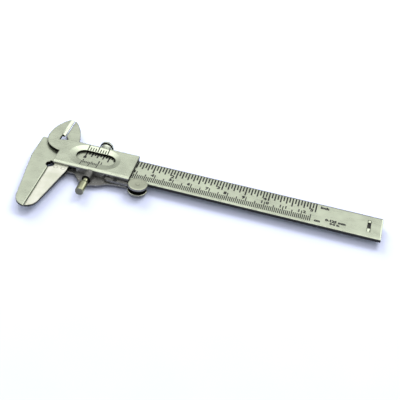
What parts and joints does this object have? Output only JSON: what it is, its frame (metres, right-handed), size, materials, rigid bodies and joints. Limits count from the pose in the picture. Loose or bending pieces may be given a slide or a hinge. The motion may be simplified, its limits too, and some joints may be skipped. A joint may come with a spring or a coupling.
{
  "type": "vernier caliper",
  "caption": "Flat steel vernier caliper with outside jaws, crossed inside jaws, a windowed slider, clamp screws, a thumb lever and a depth rod, jaws closed.",
  "frame": {"origin": "middle of the underside of the closed caliper's own box, jaws at the left", "axes": "+X along the beam towards its free end, the way the slider opens; +Y towards the inside jaws; +Z out of the graduated face"},
  "size_m": [0.19, 0.0808, 0.0076],
  "materials": {
    "satin_steel": "satin",
    "dark_steel": "rough rolled",
    "spring_steel": "plain",
    "brass": "turned"
  },
  "bodies": {
    "beam": {"main_beam": "satin_steel", "end_clip": "satin_steel"},
    "slider": {"front_plate": "satin_steel", "back_plate": "dark_steel", "sliding_jaw": "satin_steel", "jaw_rivet_left": "satin_steel", "jaw_rivet_right": "satin_steel", "top_rail": "satin_steel", "gib_spring": "spring_steel", "screw_block": "dark_steel", "depth_rod": "satin_steel", "rod_rivet_left": "satin_steel", "rod_rivet_right": "satin_steel", "lever_pivot_pin": "satin_steel", "lever_spring": "spring_steel"},
    "clamp_screw_stud": {"clamp_stud": "satin_steel"},
    "clamp_screw_knob": {"clamp_knob": "satin_steel"},
    "brass_screw_stud": {"brass_stud": "brass"},
    "brass_screw_head": {"brass_head": "brass"},
    "lever": {"thumb_lever": "dark_steel", "button_front_disc": "satin_steel", "button_rear_disc": "satin_steel", "button_rivet": "satin_steel"}
  },
  "joints": [
    {"name": "slider_travel", "type": "slide", "parent": "beam", "child": "slider", "axis": [1, 0, 0], "range_m": [0, 0.1255]},
    {"name": "clamp_stud_feed", "type": "slide", "parent": "slider", "child": "clamp_screw_stud", "axis": [0, 1, 0], "range_m": [0, 0.00075]},
    {"name": "clamp_knob_turn", "type": "hinge", "parent": "clamp_screw_stud", "child": "clamp_screw_knob", "pos_m": [-0.05975, 0.02345, 0.0038], "axis": [0, 1, 0], "range_deg": [0, 541]},
    {"name": "brass_stud_feed", "type": "slide", "parent": "slider", "child": "brass_screw_stud", "axis": [0, -1, 0], "range_m": [0, 0.0015]},
    {"name": "brass_head_turn", "type": "hinge", "parent": "brass_screw_stud", "child": "brass_screw_head", "pos_m": [-0.06135, -0.01455, 0.00395], "axis": [0, -1, 0], "range_deg": [0, 1081]},
    {"name": "lever_pivot", "type": "hinge", "parent": "slider", "child": "lever", "pos_m": [-0.04695, -0.00285, 0.0034], "axis": [0, 0, 1], "range_deg": [0, 6], "stiffness_Nm_per_rad": 0.05, "springref_deg": -5.73, "deforming": ["lever_spring"]}
  ],
  "couplings": [
    {"joint": "clamp_knob_turn", "follows": "clamp_stud_feed", "rad_per_m": 12566},
    {"joint": "brass_head_turn", "follows": "brass_stud_feed", "rad_per_m": 12566}
  ]
}
